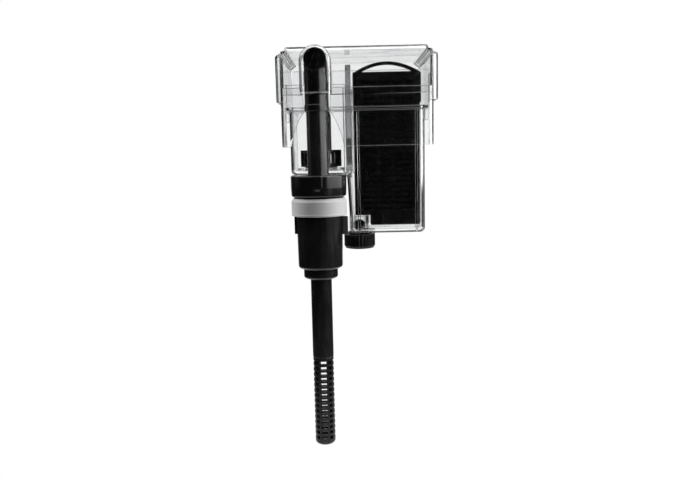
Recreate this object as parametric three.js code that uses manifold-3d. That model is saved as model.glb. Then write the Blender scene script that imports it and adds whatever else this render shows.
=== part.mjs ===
// Hang on back aquarium filter with an in-line pump.
// Millimetres, +Z up, +X to the right seen from the tank, +Y away from the tank.
// The origin is the rim seat: the underside of the bridge that rests on the tank glass.
import * as THREE from "three";
import { mergeVertices } from "three/addons/utils/BufferGeometryUtils.js";
import Module from "manifold-3d";

const wasm = await Module();
wasm.setup();

// ---- driving dimensions ----
const GAP = 0.3; // running gap between neighbouring pieces
const ROUND = 24; // sides of a round piece
const SMALL = 16; // sides of a small or hidden round piece
const WALL = 2.2; // container wall

const BODY = { left: -57, right: 57.6, front: 6, back: 60, corner: 4 };
const MEDIA_FLOOR = -104.9; // outer bottom of the deep media chamber
const INLET_FLOOR = -53.6; // outer bottom of the inlet chamber
const SPLIT = { top: -9.3, bottom: -6.9 }; // outer X of the wall between the two depths

const TRAY = { half: 60.7, halfBottom: 60.4, front: -28.3, back: 60, wall: 1.9, top: 39.4, corner: 5 };
const BRIDGE = { front: -8, top: 2.4 };
const APRON = { top: 16, bottom: -30, thick: 2 };

const LID = { half: 64, front: -30.5, back: 62.2, top: 47.1, wall: 1.8, corner: 6 };
const LID_SKIRT = { front: 10.2, side: 5 };
const HOOD = { half: 12.8, front: -45.5 };

const PIPE = { x: -32, front: -32, rear: 33, z: 35.8, radius: 8.8, bore: 7.1 };
const SLEEVE = { radius: 9.1, collar: 9.6, bore: 8.6, top: 28, bottom: -2.9 };
const SPIGOT = { radius: 8, bottom: -14 };
const DOWNPIPE = { radius: 9.6, bore: 8.3, top: 0.5, bottom: -36 };
const DIFFUSER = { radius: 18.2, top: -32.4, bottom: -47, wall: 1.6, slots: 12 };

const RISER = { radius: 8.3, bore: 6.6, top: 14, bottom: -62.9 };
const HEAD = { radius: 22.1, top: -53.2, bottom: -69.8, barrel: 19.6, barrelEnd: -82.5 };
const VOLUTE = { radius: 15, top: -68.5 };
const RING = { radius: 22.3, bore: 19.9, top: -70.1, bottom: -84 };
const CASING = { top: -84.3, bottom: -126.4, radiusTop: 18.35, radiusBottom: 17.9, bore: 16.4 };
const CAN = { radius: 13.6, bore: 12.4, top: -88.5, bottom: -120 };
const WELL = { radius: 5.6, bore: 4.8, bottom: -110 };
const COLLAR = { radius: 13.8, bottom: -134.8 };
const INTAKE = { radius: 8.55, bore: 7.2, top: -128.5, bottom: -200.5 };
const STRAINER = { radius: 8.4, bore: 7, bottom: -275.8, rows: 15, pitch: 4.61, firstRow: -204.9 };

const CARTRIDGE = { left: -2.8, right: 53.9, front: 11, back: 33, bottom: -98.2, top: 31.9, wall: 1.8 };
const NOTCH = { x: 10.6, z: -89.4 }; // corner of the cartridge that clears the drain boss
const HANDLE = { thick: 4, rise: 8.3, innerRise: 5.6 };
const SLIT_COLUMNS = [[4.4, 16.2], [18.8, 29.8], [31.6, 39.6], [41.4, 47.5]];
const SLIT = { rows: 8, pitch: 14, height: 11.1, top: 24.6 };

const DRAIN = { x: 0.9, y: 24, boss: 8.9, bore: 6.7, seal: 10.4, bossTop: -90.6 };
const STEM = { radius: 5.2, top: -96.4, tip: 2, tipTop: -94.2 }; // plug of the knob, with a tapered tip
const KNOB = { radius: 13.9, top: -106.3, bottom: -119.3, ribs: 12 };

// Inside of the box
const STOP = { width: 4, depth: 10, thick: 2 }; // hook ribs that rest behind the glass
const DAM = { top: 22, cradleTop: 33, cradleHalf: 12 };
const BELL = { slot: 10.6, slotEnd: -3.5, foot: 21.2, waist: 17.5, waistZ: -12 };
const GUIDE = { top: 18, depth: 2.5, thick: 1.6 };
const SEAT_RING = { outer: 21.4, inner: 19, height: 3.4 };
const DIVIDER = { left: -9.2, right: -4.6, top: 38 };
const WINDOW = { front: 44, back: 54, bottom: -46, top: -22 }; // overflow port of the divider
const PADS = { foamFront: 13.2, foamBack: 22, carbonFront: 22.4, carbonBack: 30.5 };

// Inside of the pump
const SHAFT = { radius: 1, top: -67.4, bottom: -108.6, bore: 1.15 };
const IMPELLER = { top: -69.6, disc: 11.5, discThick: 1.1, hub: 3, neckEnd: -86.4 };
const BLADE = { count: 6, length: 8.6, thick: 1.1, height: 5.8, middle: 7, offset: 1.2, z: -73.4 };
const MAGNET = { radius: 4.4, top: -86.8, bottom: -106 };
const EYE = { radius: 5.2, outer: 14.6, top: -77.3, bottom: -78.6 }; // plate under the impeller
const STATOR = { half: 10.6, depth: 4, top: -92, bottom: -118, leg: 4, window: -115, pole: 2, poleEnd: -112 };
const COIL = { half: 6.3, depth: 7, top: -111.5, bottom: -118.5 };
const LUG = { inner: 18.9, outer: 22.7, half: 4, top: -85.6, bottom: -99.7, inletZ: -92, inlet: 1.3 };
const HOUSING_RIB = { proud: 1.8, half: 1.5, top: -85, bottom: -99 };

// ---- materials ----
function finish(color, roughness, metalness = 0, opacity = 1) {
  return new THREE.MeshStandardMaterial({
    color, roughness, metalness, opacity, transparent: opacity < 1,
  });
}
const CLEAR = finish(0xe8ecee, 0.08, 0, 0.3);
const SMOKE = finish(0x8a8f92, 0.15, 0, 0.6);
const BLACK = finish(0x0c0c0d, 0.28);
const SATIN_BLACK = finish(0x121213, 0.45);
const WHITE = finish(0xe4e4e2, 0.3);
const RUBBER = finish(0x1a1a1a, 0.8);
const FOAM = finish(0x1d1e1f, 0.95);
const CARBON = finish(0x151515, 0.9);
const CERAMIC = finish(0xf0eee6, 0.35);
const FERRITE = finish(0x3a3a3c, 0.5, 0.3);
const STEEL = finish(0x8d8f92, 0.4, 1);
const COPPER = finish(0xb4693a, 0.35, 1);

// ---- solids ----
function signedVolume(positions, indices) {
  const [a, b, c] = [new THREE.Vector3(), new THREE.Vector3(), new THREE.Vector3()];
  let sum = 0;
  for (let i = 0; i < indices.length; i += 3) {
    a.fromArray(positions, 3 * indices[i]);
    b.fromArray(positions, 3 * indices[i + 1]);
    c.fromArray(positions, 3 * indices[i + 2]);
    sum += a.dot(b.cross(c));
  }
  return sum;
}

function solid(geometry) {
  const plain = geometry.clone();
  plain.deleteAttribute("normal");
  plain.deleteAttribute("uv");
  const merged = mergeVertices(plain, 1e-4);
  const vertProperties = new Float32Array(merged.attributes.position.array);
  const triVerts = new Uint32Array(merged.index.array);
  if (signedVolume(vertProperties, triVerts) < 0) triVerts.reverse();
  return new wasm.Manifold(new wasm.Mesh({ numProp: 3, vertProperties, triVerts }));
}

function join(...pieces) {
  return pieces.reduce((a, b) => a.add(b));
}

function cut(piece, ...tools) {
  return tools.reduce((a, b) => a.subtract(b), piece);
}

function named(name, shape, material) {
  const { vertProperties, triVerts } = shape.getMesh();
  const geometry = new THREE.BufferGeometry();
  geometry.setAttribute("position", new THREE.BufferAttribute(new Float32Array(vertProperties), 3));
  geometry.setIndex(new THREE.BufferAttribute(new Uint32Array(triVerts), 1));
  geometry.computeVertexNormals();
  const mesh = new THREE.Mesh(geometry, material);
  mesh.name = name;
  return mesh;
}

function block(x0, x1, y0, y1, z0, z1) {
  const box = new THREE.BoxGeometry(x1 - x0, y1 - y0, z1 - z0);
  box.translate((x0 + x1) / 2, (y0 + y1) / 2, (z0 + z1) / 2);
  return solid(box);
}

function rod(radius, z0, z1, x = 0, y = 0, sides = ROUND) {
  const cylinder = new THREE.CylinderGeometry(radius, radius, z1 - z0, sides);
  cylinder.rotateX(Math.PI / 2);
  cylinder.translate(x, y, (z0 + z1) / 2);
  return solid(cylinder);
}

function rodAlongY(radius, y0, y1, x, z, sides = ROUND) {
  const cylinder = new THREE.CylinderGeometry(radius, radius, y1 - y0, sides);
  cylinder.translate(x, (y0 + y1) / 2, z);
  return solid(cylinder);
}

// Turns a closed outline of [radius, z] points about a vertical axis.
function turned(outline, x = 0, y = 0, sides = ROUND) {
  const points = outline.map(([r, z]) => new THREE.Vector2(r, z));
  const onAxis = outline[0][0] === 0 && outline.at(-1)[0] === 0;
  if (!onAxis) points.push(points[0].clone());
  const lathe = new THREE.LatheGeometry(points, sides);
  lathe.rotateX(Math.PI / 2);
  lathe.translate(x, y, 0);
  return solid(lathe);
}

function ring(outer, inner, z0, z1, x, y, sides = ROUND) {
  return turned([[inner, z0], [outer, z0], [outer, z1], [inner, z1]], x, y, sides);
}

function roundedRectangle(x0, x1, y0, y1, r) {
  const shape = new THREE.Shape();
  shape.moveTo(x0 + r, y0);
  shape.lineTo(x1 - r, y0);
  shape.absarc(x1 - r, y0 + r, r, -Math.PI / 2, 0);
  shape.lineTo(x1, y1 - r);
  shape.absarc(x1 - r, y1 - r, r, 0, Math.PI / 2);
  shape.lineTo(x0 + r, y1);
  shape.absarc(x0 + r, y1 - r, r, Math.PI / 2, Math.PI);
  shape.lineTo(x0, y0 + r);
  shape.absarc(x0 + r, y0 + r, r, Math.PI, 1.5 * Math.PI);
  return shape;
}

// Extrudes a plan outline upwards.
function upright(shape, z0, z1, curveSegments = 4) {
  const body = new THREE.ExtrudeGeometry(shape, { depth: z1 - z0, bevelEnabled: false, curveSegments });
  body.translate(0, 0, z0);
  return solid(body);
}

// Extrudes an outline drawn in X and Z along Y.
function throughY(shape, y0, y1, curveSegments = 4) {
  const body = new THREE.ExtrudeGeometry(shape, { depth: y1 - y0, bevelEnabled: false, curveSegments });
  body.rotateX(Math.PI / 2);
  body.translate(0, y1, 0);
  return solid(body);
}

function polygon(points) {
  return new THREE.Shape(points.map(([x, y]) => new THREE.Vector2(x, y)));
}

// ---- container ----

// Front outline of the L-shaped box: deep on the media side, shallow on the inlet side.
function bodyOutline(inset, top) {
  const r = BODY.corner;
  const left = BODY.left + inset;
  const right = BODY.right - inset;
  const low = MEDIA_FLOOR + inset;
  const step = INLET_FLOOR + inset;
  const shape = new THREE.Shape();
  shape.moveTo(left, top);
  shape.lineTo(left, step + r);
  shape.absarc(left + r, step + r, r, Math.PI, 1.5 * Math.PI);
  shape.lineTo(SPLIT.top + inset, step);
  shape.lineTo(SPLIT.bottom + inset, low + 1);
  shape.lineTo(SPLIT.bottom + inset + 1, low);
  shape.lineTo(right - r, low);
  shape.absarc(right - r, low + r, r, 1.5 * Math.PI, 2 * Math.PI);
  shape.lineTo(right, top);
  return shape;
}

function bodyVolume(inset, top) {
  const { left, right, front, back, corner } = BODY;
  const plan = roundedRectangle(left + inset, right - inset, front + inset, back - inset, corner - inset * 0.6);
  const column = upright(plan, MEDIA_FLOOR - 1, top);
  return throughY(bodyOutline(inset, top), front + inset, back - inset).intersect(column);
}

function trayVolume(inset, bottom, top) {
  const { half, halfBottom, front, back, corner } = TRAY;
  const plan = roundedRectangle(-half + inset, half - inset, front + inset, back - inset, corner - inset);
  const outline = polygon([
    [-half + inset, top], [-half + inset, 0], [-halfBottom + inset, APRON.bottom],
    [halfBottom - inset, APRON.bottom], [half - inset, 0], [half - inset, top],
  ]);
  const column = upright(plan, bottom, top);
  return throughY(outline, front - 1, back + 1).intersect(column);
}

// Upright slot for the pipe that opens downwards into a bell for the pump head.
function bellShape() {
  const { slot, slotEnd, foot, waist, waistZ } = BELL;
  const shape = new THREE.Shape();
  shape.moveTo(PIPE.x - foot, APRON.bottom - 1);
  shape.quadraticCurveTo(PIPE.x - waist, waistZ, PIPE.x - slot, slotEnd);
  shape.lineTo(PIPE.x - slot, APRON.top + 1);
  shape.lineTo(PIPE.x + slot, APRON.top + 1);
  shape.lineTo(PIPE.x + slot, slotEnd);
  shape.quadraticCurveTo(PIPE.x + waist, waistZ, PIPE.x + foot, APRON.bottom - 1);
  return shape;
}

function trayShell() {
  const { half, wall, front, top } = TRAY;
  const outer = trayVolume(0, APRON.bottom, top);
  const hollow = trayVolume(wall, APRON.bottom - 1, top + 1);
  const lowRear = block(-half - 1, half + 1, BRIDGE.front, TRAY.back + 1, APRON.bottom - 1, 0);
  const highFront = block(-half + wall, half - wall, front - 1, front + APRON.thick + 0.5, APRON.top, top + 1);
  const pipeSlot = throughY(bellShape(), front - 1, front + 4, 6);
  return cut(outer, hollow, lowRear, highFront, pipeSlot);
}

function bridgeAndLedges() {
  const { half } = TRAY;
  const inner = half - TRAY.wall / 2;
  const plate = block(-inner, inner, BRIDGE.front, TRAY.back - 1, 0, BRIDGE.top);
  const mouth = bodyVolume(WALL, BRIDGE.top + 1);
  return cut(plate, mouth);
}

function hookStops() {
  const inner = TRAY.half - 1;
  const { width, depth, thick } = STOP;
  const lefts = [-inner, PIPE.x - width / 2, inner - width];
  return join(...lefts.map((x) => block(x, x + width, BRIDGE.front, BRIDGE.front + thick, -depth, 1)));
}

// Wall that keeps the inlet chamber's water level above the bridge, with a cradle for the pipe.
function inletDam() {
  const { top, cradleTop, cradleHalf } = DAM;
  const wall = block(-TRAY.half + 1, SPLIT.top, BODY.front, BODY.front + WALL, 1, top);
  const cradle = block(
    PIPE.x - cradleHalf, PIPE.x + cradleHalf, BODY.front, BODY.front + WALL, top - 1, cradleTop,
  );
  const seat = rodAlongY(PIPE.radius + GAP, BODY.front - 1, BODY.front + WALL + 1, PIPE.x, PIPE.z);
  return cut(join(wall, cradle), seat);
}

// Upright ribs that hold the divider and the cartridge.
function guideRibs() {
  const { top, depth, thick } = GUIDE;
  const front = BODY.front + WALL - 0.5;
  const back = BODY.back - WALL + 0.5;
  const step = INLET_FLOOR + WALL - 0.5;
  const floor = MEDIA_FLOOR + WALL - 0.5;
  const right = BODY.right - WALL + 0.5;
  const behind = CARTRIDGE.back + 2 * GAP;
  const leftOfDivider = DIVIDER.left - 0.4 - thick;
  const rightOfDivider = DIVIDER.right + 0.4;
  return join(
    block(leftOfDivider, leftOfDivider + thick, front, front + depth, step, top),
    block(rightOfDivider, rightOfDivider + thick, front, front + depth, step, top),
    block(leftOfDivider, leftOfDivider + thick, back - depth, back, step, top),
    block(rightOfDivider, rightOfDivider + thick, back - depth, back, INLET_FLOOR, top),
    block(0, thick, front, CARTRIDGE.front - GAP, floor, 0),
    block(CARTRIDGE.right - 4.3, CARTRIDGE.right - 4.3 + thick, front, CARTRIDGE.front - GAP, floor, 0),
    block(CARTRIDGE.right - 2.3, right, behind, behind + thick, floor, 0),
  );
}

function drainBoss() {
  return rod(DRAIN.boss, MEDIA_FLOOR + 0.5, DRAIN.bossTop, DRAIN.x, DRAIN.y);
}

function diffuserSeatRing() {
  const { outer, inner, height } = SEAT_RING;
  const floor = INLET_FLOOR + WALL;
  return ring(outer, inner, floor - 0.5, floor + height, PIPE.x, PIPE.rear);
}

function filterContainer() {
  const box = cut(bodyVolume(0, BRIDGE.top), bodyVolume(WALL, BRIDGE.top + 1));
  const shell = join(
    box, trayShell(), bridgeAndLedges(), hookStops(), inletDam(), guideRibs(), drainBoss(), diffuserSeatRing(),
  );
  const drainHole = rod(DRAIN.bore, MEDIA_FLOOR - 1, DRAIN.bossTop + 1, DRAIN.x, DRAIN.y);
  return cut(shell, drainHole);
}

function chamberDivider() {
  const front = BODY.front + WALL + GAP;
  const back = BODY.back - WALL - GAP;
  const { left, right, top } = DIVIDER;
  const plate = block(left, right, front, back, INLET_FLOOR + WALL + GAP, top);
  const port = block(left - 1, right + 1, WINDOW.front, WINDOW.back, WINDOW.bottom, WINDOW.top);
  return cut(plate, port);
}

// ---- lid ----

// Front outline with three rounded steps at each end.
function steppedOutline(inset, bottom) {
  const steps = [[53.2, 47.1, 3], [57.6, 44, 1.8], [60.6, 41.6, 3.4]];
  const shape = new THREE.Shape();
  shape.moveTo(0, steps[0][1] - inset);
  for (const [x, z, r] of steps) {
    const radius = Math.max(r - inset, 0.4);
    const centre = [x + r - inset - radius, z - inset - radius];
    shape.lineTo(centre[0], z - inset);
    shape.absarc(centre[0], centre[1], radius, Math.PI / 2, 0, true);
  }
  shape.lineTo(LID.half - inset, bottom);
  shape.lineTo(0, bottom);
  return shape;
}

function lidVolume(inset, bottom) {
  const { half, front, back, corner } = LID;
  const right = throughY(steppedOutline(inset, bottom), front - 1, back + 1, 3);
  const both = right.add(right.mirror([1, 0, 0]));
  const plan = roundedRectangle(-half + inset, half - inset, front + inset, back - inset, corner - inset);
  return both.intersect(upright(plan, bottom, LID.top + 1));
}

// Round-topped tunnel outline of the hood.
function tunnel(half, bottom) {
  const shape = new THREE.Shape();
  const centre = LID.top - HOOD.half;
  shape.moveTo(PIPE.x - half, bottom);
  shape.lineTo(PIPE.x + half, bottom);
  shape.lineTo(PIPE.x + half, centre);
  shape.absarc(PIPE.x, centre, half, 0, Math.PI);
  return shape;
}

function lid() {
  const { wall, front } = LID;
  const cover = lidVolume(0, LID_SKIRT.side);
  const frontTrim = block(-LID.half + 6, LID.half - 6, front - 1, front + 4, 0, LID_SKIRT.front);
  const hood = throughY(tunnel(HOOD.half, LID_SKIRT.front), HOOD.front, front + wall / 2, 6);
  const hollow = lidVolume(wall, LID_SKIRT.side - 1);
  const hoodHollow = throughY(tunnel(HOOD.half - wall, 0), HOOD.front + wall, front + wall + 2, 6);
  return cut(join(cut(cover, frontTrim), hood), hollow, hoodHollow);
}

// ---- pipes ----

function elbowPipe() {
  const { x, front, rear, z, radius, bore } = PIPE;
  const discFace = front - radius - 0.6;
  const bend = new THREE.SphereGeometry(radius, 16, 8).translate(x, rear, z);
  const innerBend = new THREE.SphereGeometry(bore, 12, 8).translate(x, rear, z);
  const sleeve = turned([
    [0, SLEEVE.bottom], [SLEEVE.collar, SLEEVE.bottom], [SLEEVE.collar, 1.6], [SLEEVE.radius, 2.8],
    [SLEEVE.radius, z], [0, z],
  ], x, front);
  const outer = join(
    rodAlongY(radius, discFace, rear, x, z), solid(bend), sleeve, rod(SPIGOT.radius, SPIGOT.bottom, z, x, rear),
  );
  return cut(
    outer,
    rodAlongY(bore, discFace + 2, rear, x, z),
    solid(innerBend),
    rod(SLEEVE.bore, SLEEVE.bottom - 1, SLEEVE.top, x, front),
    rod(bore, SLEEVE.top - 1, z, x, front),
    rod(6.6, SPIGOT.bottom - 1, z, x, rear),
  );
}

function innerDownpipe() {
  const { radius, bore, top, bottom } = DOWNPIPE;
  return turned([
    [bore, bottom], [radius, bottom], [radius, top - 3.5], [bore + 0.5, top], [bore, top],
  ], PIPE.x, PIPE.rear);
}

function inletDiffuser() {
  const { radius, top, bottom, wall, slots } = DIFFUSER;
  const neck = DOWNPIPE.radius + GAP;
  const foot = INLET_FLOOR + WALL + GAP;
  const drum = turned([
    [neck, top], [radius, top], [radius, bottom], [14.5, bottom], [14.5, foot], [11.5, foot],
    [11.5, bottom + wall], [radius - wall, bottom + wall], [radius - wall, top - wall], [neck, top - wall],
  ], PIPE.x, PIPE.rear);
  const cutters = Array.from({ length: slots }, (_, i) => {
    const slot = new THREE.BoxGeometry(6, 2.4, 10);
    slot.translate(radius, 0, (top + bottom) / 2);
    slot.rotateZ((2 * Math.PI * (i + 0.5)) / slots);
    slot.translate(PIPE.x, PIPE.rear, 0);
    return solid(slot);
  });
  return cut(drum, ...cutters);
}

function riserTube() {
  const { radius, bore, top, bottom } = RISER;
  return turned([
    [bore, bottom], [radius, bottom], [radius, 8], [radius - 0.8, 8], [radius - 0.8, 10], [radius, 10],
    [radius, top], [bore, top],
  ], PIPE.x, PIPE.front);
}

function riserSeal() {
  return ring(RISER.radius + 0.1, RISER.radius - 0.5, 8.3, 9.7, PIPE.x, PIPE.front, SMALL);
}

// ---- pump ----

const onPump = (outline, sides = ROUND) => turned(outline, PIPE.x, PIPE.front, sides);

function pumpHead() {
  const { radius, top, bottom, barrel, barrelEnd } = HEAD;
  const body = onPump([
    [0, barrelEnd], [barrel, barrelEnd], [barrel, bottom], [radius - 3, bottom], [radius - 0.9, bottom + 1.2],
    [radius, bottom + 4], [radius, top + 0.8], [radius - 0.8, top], [0, top],
  ]);
  const outlet = PIPE.front - 11;
  const bulge = new THREE.SphereGeometry(9.7, 16, 8).translate(PIPE.x, -44.9, -60);
  const bulgeTop = rod(9.7, -60, top, PIPE.x, -44.9, SMALL);
  const skirt = block(-60, 0, -56, -30, bottom + 0.2, top + 1);
  const bulged = body.add(join(solid(bulge), bulgeTop).intersect(skirt));
  return cut(
    bulged,
    rod(RISER.radius + 0.25, RISER.bottom - GAP, top + 1, PIPE.x, PIPE.front),
    rod(VOLUTE.radius, barrelEnd - 1, VOLUTE.top, PIPE.x, PIPE.front),
    rod(3.4, VOLUTE.top - 1, RISER.bottom - GAP + 0.5, PIPE.x, outlet + 2.6, SMALL),
    block(PIPE.x - 3, PIPE.x + 3, outlet + 2, PIPE.front, RISER.bottom - 3, RISER.bottom - 0.3),
    rod(2.6, VOLUTE.top - 1, VOLUTE.top + 2, PIPE.x, PIPE.front, SMALL),
  );
}

function headSeal() {
  return ring(14.8, 13.75, -81.9, -80.7, PIPE.x, PIPE.front, SMALL);
}

function impellerCover() {
  return ring(EYE.outer, EYE.radius, EYE.bottom, EYE.top, PIPE.x, PIPE.front, SMALL);
}

function impeller() {
  const { top, disc, discThick, hub, neckEnd } = IMPELLER;
  const core = ring(hub, SHAFT.bore, neckEnd, top, PIPE.x, PIPE.front, SMALL);
  const plate = ring(disc, hub - 0.1, top - discThick, top, PIPE.x, PIPE.front, SMALL);
  const blades = Array.from({ length: BLADE.count }, (_, i) => {
    const blade = new THREE.BoxGeometry(BLADE.length, BLADE.thick, BLADE.height);
    blade.translate(BLADE.middle, BLADE.offset, BLADE.z);
    blade.rotateZ((2 * Math.PI * i) / BLADE.count);
    blade.translate(PIPE.x, PIPE.front, 0);
    return solid(blade);
  });
  return join(core, plate, ...blades);
}

function rotorMagnet() {
  return ring(MAGNET.radius, SHAFT.bore, MAGNET.bottom, MAGNET.top, PIPE.x, PIPE.front, SMALL);
}

function rotorShaft() {
  return rod(SHAFT.radius, SHAFT.bottom, SHAFT.top, PIPE.x, PIPE.front, SMALL);
}

function upperBush() {
  return onPump([[0, -66.8], [2.3, -66.8], [2.3, -68.9], [1.3, -68.9], [1.3, -67.1], [0, -67.1]], SMALL);
}

function lowerBush() {
  return onPump([[0, -109.7], [4.5, -109.7], [4.5, -107], [1.3, -107], [1.3, -108.9], [0, -108.9]], SMALL);
}

function rotorWell() {
  const { radius, bore, bottom } = WELL;
  return onPump([
    [0, bottom - 1], [radius, bottom - 1], [radius, CAN.top + GAP], [CAN.radius - 0.4, CAN.top + GAP],
    [CAN.radius - 0.4, CAN.top + 1.5], [bore, CAN.top + 1.5], [bore, bottom], [0, bottom],
  ], SMALL);
}

function motorCan() {
  const { radius, bore, top, bottom } = CAN;
  const cup = onPump([
    [0, bottom], [radius, bottom], [radius, top], [bore, top], [bore, bottom + 1.2], [0, bottom + 1.2],
  ]);
  const struts = Array.from({ length: 3 }, (_, i) => {
    const strut = new THREE.BoxGeometry(2.8, 2, 24).translate(14.7, 0, -104);
    strut.rotateZ((2 * Math.PI * i) / 3 + Math.PI / 6);
    strut.translate(PIPE.x, PIPE.front, 0);
    return solid(strut);
  });
  return join(cup, ...struts);
}

// U-shaped steel core: two legs beside the rotor well, joined by a yoke under it.
function statorCore() {
  const { half, depth, top, bottom, leg, window, pole, poleEnd } = STATOR;
  const front = PIPE.front - depth;
  const back = PIPE.front + depth;
  const packet = block(PIPE.x - half, PIPE.x + half, front, back, bottom, top);
  const bore = rod(WELL.radius + GAP, WELL.bottom - 1 - GAP, top + 1, PIPE.x, PIPE.front, SMALL);
  const opening = block(
    PIPE.x - half + leg, PIPE.x + half - leg, front - 1, back + 1, window, WELL.bottom + 3,
  );
  const poleGap = block(PIPE.x - pole / 2, PIPE.x + pole / 2, front - 1, back + 1, poleEnd, top + 1);
  return cut(packet, bore, opening, poleGap);
}

function statorCoil() {
  const { half, depth, top, bottom } = COIL;
  const winding = block(PIPE.x - half, PIPE.x + half, PIPE.front - depth, PIPE.front + depth, bottom, top);
  const yoke = block(
    PIPE.x - half - 1, PIPE.x + half + 1, PIPE.front - STATOR.depth - GAP, PIPE.front + STATOR.depth + GAP,
    STATOR.bottom - GAP, STATOR.window + GAP,
  );
  return cut(winding, yoke);
}

function motorHousing() {
  const { top, bottom, radiusTop, radiusBottom, bore } = CASING;
  const shell = onPump([
    [12.6, -79.2], [14.6, -79.2], [14.6, -80.4], [13.5, -80.4], [13.5, -82.1], [14.6, -82.1], [14.6, top],
    [radiusTop, top], [radiusBottom, bottom + 3], [radiusBottom - 0.9, bottom + 0.9],
    [radiusBottom - 3, bottom], [10.2, bottom], [10.2, bottom + 2], [bore, bottom + 2], [bore, top - 2],
    [12.6, top - 2],
  ]);
  const { proud, half, top: ribTop, bottom: ribBottom } = HOUSING_RIB;
  const side = PIPE.x - radiusTop;
  const rib = block(side - proud, side + 1, PIPE.front - half, PIPE.front + half, ribBottom, ribTop);
  return shell.add(rib);
}

function cableGland() {
  const { inner, outer, half, top, bottom, inletZ, inlet } = LUG;
  const front = PIPE.front - half;
  const back = PIPE.front + half;
  const lug = block(PIPE.x + inner, PIPE.x + outer, front, back, bottom, top);
  const seat = rod(CASING.radiusTop + GAP, bottom - 1, top + 1, PIPE.x, PIPE.front);
  const hole = rodAlongY(inlet, front + 2, back + 1, PIPE.x + (inner + outer) / 2, inletZ, SMALL);
  return cut(lug, seat, hole);
}

function intakeCollar() {
  const { radius, bottom } = COLLAR;
  const top = CASING.bottom - GAP;
  return onPump([
    [INTAKE.radius + GAP, bottom], [radius - 2.4, bottom], [radius - 0.7, bottom + 0.8], [radius, bottom + 2.6],
    [radius, top], [9.9, top], [9.9, top + 1.9], [7.4, top + 1.9], [7.4, INTAKE.top + GAP],
    [INTAKE.radius + GAP, INTAKE.top + GAP],
  ]);
}

function collarSeal() {
  return ring(16, 10.5, CASING.bottom + 2.3, CASING.bottom + 3.5, PIPE.x, PIPE.front, SMALL);
}

function flowRing() {
  const { radius, bore, top, bottom } = RING;
  const band = onPump([
    [bore, bottom], [radius, bottom], [radius, bottom + 0.9], [radius - 0.5, bottom + 1.4],
    [radius - 0.5, top - 0.8], [radius - 1, top], [bore, top],
  ]);
  const port = rodAlongY(3, PIPE.front + 10, PIPE.front + 30, PIPE.x, -76, SMALL);
  return cut(band, port);
}

// ---- intake ----

function intakeTube() {
  const { radius, bore, top, bottom } = INTAKE;
  return onPump([[bore, bottom], [radius, bottom], [radius, top], [bore, top]]);
}

function strainer() {
  const { radius, bore, bottom, rows, pitch, firstRow } = STRAINER;
  const top = INTAKE.bottom - GAP;
  const tube = onPump([
    [0, bottom], [radius - 2.4, bottom], [radius - 0.7, bottom + 0.8], [radius, bottom + 2.6], [radius, top],
    [bore - 0.2, top], [bore - 0.2, top + 8], [bore - 1.4, top + 8], [bore - 1.4, top - 2], [bore, top - 3],
    [bore, bottom + 2], [0, bottom + 2],
  ], 12);
  const cutters = [];
  for (let row = 0; row < rows; row += 1) {
    const z = firstRow - row * pitch;
    const across = new THREE.BoxGeometry(8.4, 30, 2.5).translate(PIPE.x, PIPE.front, z);
    const along = new THREE.BoxGeometry(30, 8.4, 2.5).translate(PIPE.x, PIPE.front, z);
    cutters.push(solid(across), solid(along));
  }
  return cut(tube, ...cutters);
}

// ---- cartridge ----

function cartridgeOutline(inset) {
  const { left, right, bottom, top } = CARTRIDGE;
  return polygon([
    [left + inset, top - inset], [left + inset, NOTCH.z + inset], [NOTCH.x + inset, NOTCH.z + inset],
    [NOTCH.x + inset, bottom + inset], [right - inset, bottom + inset], [right - inset, top - inset],
  ]);
}

// Band between two flat arches over the top of the case.
function handleShape() {
  const { left, right, top } = CARTRIDGE;
  const middle = (left + right) / 2;
  const shape = new THREE.Shape();
  shape.moveTo(left, top - 1);
  shape.quadraticCurveTo(middle, top + 2 * HANDLE.rise + 1, right + 1, top - 1);
  shape.lineTo(right - 6.4, top - 1);
  shape.lineTo(right - 6.4, top);
  shape.quadraticCurveTo(middle, top + 2 * HANDLE.innerRise, left + 7.2, top);
  shape.lineTo(left + 7.2, top - 1);
  return shape;
}

function slitCutters(y0, y1) {
  const cutters = [];
  for (const [x0, x1] of SLIT_COLUMNS) {
    for (let row = 0; row < SLIT.rows; row += 1) {
      const z = SLIT.top - row * SLIT.pitch;
      cutters.push(block(x0, x1, y0, y1, z - SLIT.height, z));
    }
  }
  return join(...cutters);
}

function cartridgeFrame() {
  const { front, back, wall, right, top } = CARTRIDGE;
  const rear = back - wall - GAP;
  const outer = throughY(cartridgeOutline(0), front, rear);
  const hollow = throughY(cartridgeOutline(wall), front + wall, rear + 1);
  const handle = throughY(handleShape(), front, front + HANDLE.thick, 10);
  const fin = block(right - 0.5, right + 1, front, front + HANDLE.thick, 6, top - 1);
  return cut(join(outer, handle, fin), hollow, slitCutters(front - 1, front + wall + 1));
}

function cartridgeBack() {
  const { back, wall } = CARTRIDGE;
  const plate = throughY(cartridgeOutline(0), back - wall, back);
  return cut(plate, slitCutters(back - wall - 1, back + 1));
}

// Rectangular pad that stands on the notch of the case.
function mediaPad(y0, y1) {
  const { left, right, top, wall } = CARTRIDGE;
  const inset = wall + GAP;
  return block(left + inset, right - inset, y0, y1, NOTCH.z + inset, top - inset);
}

// ---- drain ----

function drainSeal() {
  return ring(DRAIN.seal, STEM.radius + 0.5, KNOB.top + GAP, MEDIA_FLOOR - GAP, DRAIN.x, DRAIN.y, SMALL);
}

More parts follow.
